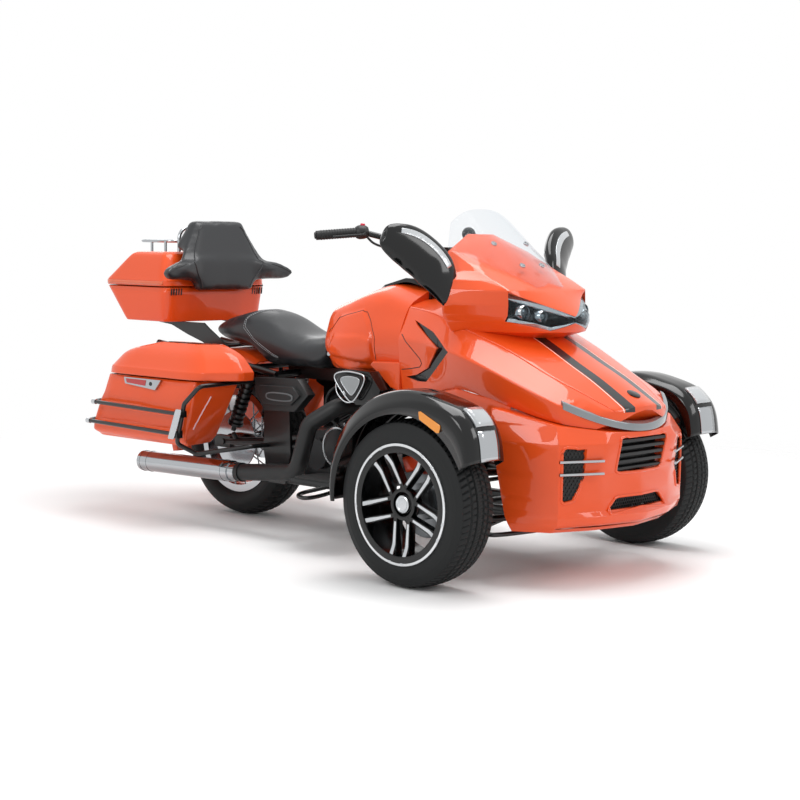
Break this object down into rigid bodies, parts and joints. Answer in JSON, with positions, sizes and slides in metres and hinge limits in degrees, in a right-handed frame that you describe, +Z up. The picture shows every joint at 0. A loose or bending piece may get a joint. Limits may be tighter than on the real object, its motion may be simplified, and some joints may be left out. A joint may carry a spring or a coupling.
{
  "type": "motorized trike",
  "caption": "Touring trike with steered front wheels under cycle fenders, V-twin engine, long seat, saddlebags and a top case with backrest",
  "frame": {"origin": "on the ground, at the middle of the overall length and width", "axes": "+X forward, the way the trike is driven; +Y to the rider's left; +Z up"},
  "size_m": [2.637, 1.444, 1.2624],
  "materials": {
    "alloy": "machined and black alloy",
    "black_gloss": "gloss black",
    "black_heat": "matte black heat-resistant paint",
    "black_leather": "black grained cover",
    "black_matte": "textured black plastic",
    "black_rubber": "moulded black rubber",
    "black_steel": "black powder coat",
    "chrome": "polished chrome",
    "disc_steel": "ground disc",
    "engine_cast": "dark cast aluminium",
    "lamp_clear": "clear lamp lens",
    "lamp_red": "red lamp lens",
    "orange_paint": "gloss orange lacquer",
    "screen_clear": "clear sheet",
    "tyre": "black tyre rubber"
  },
  "bodies": {
    "chassis": {"main_frame": "black_steel", "control_arms": "black_steel", "shocks": "black_steel", "engine": "engine_cast", "air_cleaner": "black_gloss", "exhaust_pipes": "black_heat", "mufflers": "chrome", "footboards": "black_rubber", "side_covers": "black_matte", "fuel_tank": "orange_paint", "tank_console": "black_gloss", "body_shell": "orange_paint", "hood": "orange_paint", "chevron_vents": "black_gloss", "front_bumper": "orange_paint", "grilles": "black_gloss", "vent_bars": "chrome", "light_strip": "lamp_clear", "upper_fairing": "orange_paint", "headlights": "lamp_clear", "windscreen": "screen_clear", "mirrors": "black_gloss", "dash_panel": "black_matte", "steering_head": "black_steel", "seat": "black_leather", "rear_fender": "orange_paint", "tail_lamp": "lamp_red", "swingarm": "black_steel", "bag_right": "orange_paint", "bag_left": "orange_paint", "bag_latches": "chrome", "bag_guards": "black_steel", "top_case": "orange_paint"},
    "handlebar_set": {"handlebar": "black_steel", "grips": "black_rubber"},
    "pitman": {"pitman_arm": "black_steel"},
    "knuckle_right_set": {"knuckle_right": "black_steel", "fender_right": "black_gloss", "fender_lamp_right": "lamp_clear"},
    "tie_rod_right_set": {"tie_rod_right": "black_steel"},
    "front_wheel_right": {"tyre_right": "tyre", "rim_right": "alloy", "brake_disc_right": "disc_steel"},
    "knuckle_left_set": {"knuckle_left": "black_steel", "fender_left": "black_gloss", "fender_lamp_left": "lamp_clear"},
    "tie_rod_left_set": {"tie_rod_left": "black_steel"},
    "front_wheel_left": {"tyre_left": "tyre", "rim_left": "alloy", "brake_disc_left": "disc_steel"},
    "rear_wheel": {"rear_tyre": "tyre", "rear_rim": "alloy"},
    "bag_lid_right_set": {"bag_lid_right": "orange_paint"},
    "bag_lid_left_set": {"bag_lid_left": "orange_paint"},
    "case_lid_set": {"top_case_lid": "orange_paint", "luggage_rack": "chrome", "backrest": "black_leather"}
  },
  "joints": [
    {"name": "steer", "type": "hinge", "parent": "chassis", "child": "handlebar_set", "pos_m": [0.4, 0, 1.1], "axis": [-0.4226, 0, 0.9063], "range_deg": [-25, 25]},
    {"name": "pitman_turn", "type": "hinge", "parent": "chassis", "child": "pitman", "pos_m": [0.825, 0, 0.281], "axis": [0, 0, 1], "range_deg": [-25, 25]},
    {"name": "kingpin_right", "type": "hinge", "parent": "chassis", "child": "knuckle_right_set", "pos_m": [0.825, -0.534, 0.281], "axis": [0, 0, 1], "range_deg": [-25, 25]},
    {"name": "tie_rod_end_right", "type": "hinge", "parent": "knuckle_right_set", "child": "tie_rod_right_set", "pos_m": [0.715, -0.534, 0.299], "axis": [0, 0, 1], "range_deg": [-25, 25]},
    {"name": "front_axle_right", "type": "hinge", "parent": "knuckle_right_set", "child": "front_wheel_right", "pos_m": [0.825, -0.63, 0.281], "axis": [0, 1, 0], "continuous": true},
    {"name": "kingpin_left", "type": "hinge", "parent": "chassis", "child": "knuckle_left_set", "pos_m": [0.825, 0.534, 0.281], "axis": [0, 0, 1], "range_deg": [-25, 25]},
    {"name": "tie_rod_end_left", "type": "hinge", "parent": "knuckle_left_set", "child": "tie_rod_left_set", "pos_m": [0.715, 0.534, 0.263], "axis": [0, 0, 1], "range_deg": [-25, 25]},
    {"name": "front_axle_left", "type": "hinge", "parent": "knuckle_left_set", "child": "front_wheel_left", "pos_m": [0.825, 0.63, 0.281], "axis": [0, 1, 0], "continuous": true},
    {"name": "rear_axle", "type": "hinge", "parent": "chassis", "child": "rear_wheel", "pos_m": [-0.703, 0, 0.311], "axis": [0, 1, 0], "continuous": true},
    {"name": "bag_lid_hinge_right", "type": "hinge", "parent": "chassis", "child": "bag_lid_right_set", "pos_m": [-0.75, -0.245, 0.59], "axis": [-1, 0, 0], "range_deg": [0, 45]},
    {"name": "bag_lid_hinge_left", "type": "hinge", "parent": "chassis", "child": "bag_lid_left_set", "pos_m": [-0.75, 0.245, 0.59], "axis": [1, 0, 0], "range_deg": [0, 45]},
    {"name": "case_lid_hinge", "type": "hinge", "parent": "chassis", "child": "case_lid_set", "pos_m": [-1.1, 0.284, 0.94], "axis": [-1, 0, 0], "range_deg": [0, 70]}
  ],
  "couplings": [
    {"joint": "pitman_turn", "follows": "steer", "ratio": 1},
    {"joint": "kingpin_right", "follows": "steer", "ratio": 1},
    {"joint": "tie_rod_end_right", "follows": "steer", "ratio": -1},
    {"joint": "kingpin_left", "follows": "steer", "ratio": 1},
    {"joint": "tie_rod_end_left", "follows": "steer", "ratio": -1}
  ]
}
